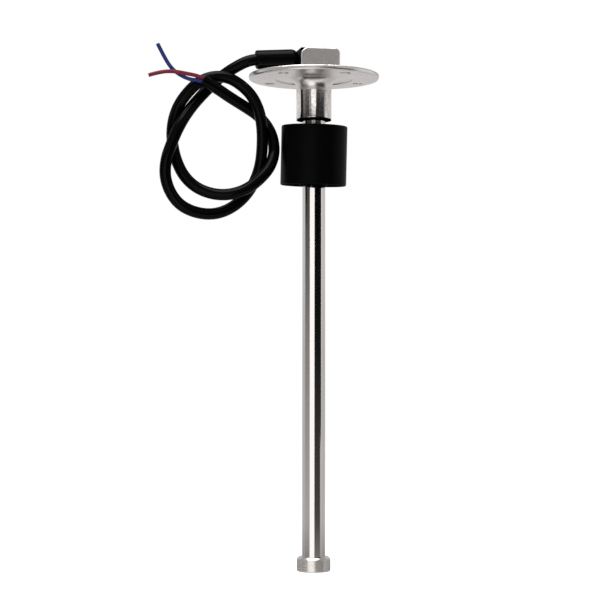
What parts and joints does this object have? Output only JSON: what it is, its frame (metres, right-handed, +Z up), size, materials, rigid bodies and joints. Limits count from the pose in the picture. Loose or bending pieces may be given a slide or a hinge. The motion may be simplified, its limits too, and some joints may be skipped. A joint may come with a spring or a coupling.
{
  "type": "fuel level sender",
  "caption": "Magnetic float level sender: flanged metal head with cable hood, round probe tube holding reed switches, sliding rubber float, end stop and a two-core cable in loose turns.",
  "frame": {"origin": "middle of the flange's underside, where it meets the tank's gasket, on the probe's axis", "axes": "+Z up out of the tank along the probe's axis, -X towards the cable outlet"},
  "size_m": [0.1223, 0.068, 0.272],
  "materials": {
    "satin_steel": "satin cast stainless steel",
    "polished_steel": "polished stainless steel",
    "turned_steel": "turned satin stainless steel",
    "float_rubber": "matt black foam rubber",
    "ferrite": "matt sintered ferrite",
    "board": "green lacquered board",
    "reed_glass": "clear green glass",
    "chip": "matt black ceramic",
    "potting": "glossy black resin",
    "boot_rubber": "satin black rubber",
    "cable_jacket": "smooth black sheath",
    "red_insulation": "smooth dark red insulation",
    "blue_insulation": "smooth dark blue insulation"
  },
  "bodies": {
    "sender": {"head_casting": "satin_steel", "hood_plug": "boot_rubber", "neck_washer": "boot_rubber", "probe_tube": "polished_steel", "end_stop": "turned_steel", "reed_board": "board", "tube_seal": "potting", "cable_boot": "boot_rubber", "cable": "cable_jacket", "red_wire": "red_insulation", "blue_wire": "blue_insulation", "red_lead": "red_insulation", "blue_lead": "blue_insulation", "reed_switch_01": "reed_glass", "reed_switch_02": "reed_glass", "reed_switch_03": "reed_glass", "reed_switch_04": "reed_glass", "reed_switch_05": "reed_glass", "reed_switch_06": "reed_glass", "reed_switch_07": "reed_glass", "reed_switch_08": "reed_glass", "reed_switch_09": "reed_glass", "reed_switch_10": "reed_glass", "resistor_01": "chip", "resistor_02": "chip", "resistor_03": "chip", "resistor_04": "chip", "resistor_05": "chip", "resistor_06": "chip", "resistor_07": "chip", "resistor_08": "chip", "resistor_09": "chip", "resistor_10": "chip"},
    "float": {"float_body": "float_rubber", "float_magnet": "ferrite"}
  },
  "joints": [
    {"name": "float_slide", "type": "slide", "parent": "sender", "child": "float", "axis": [0, 0, 1], "range_m": [-0.1922, 0.002]}
  ]
}
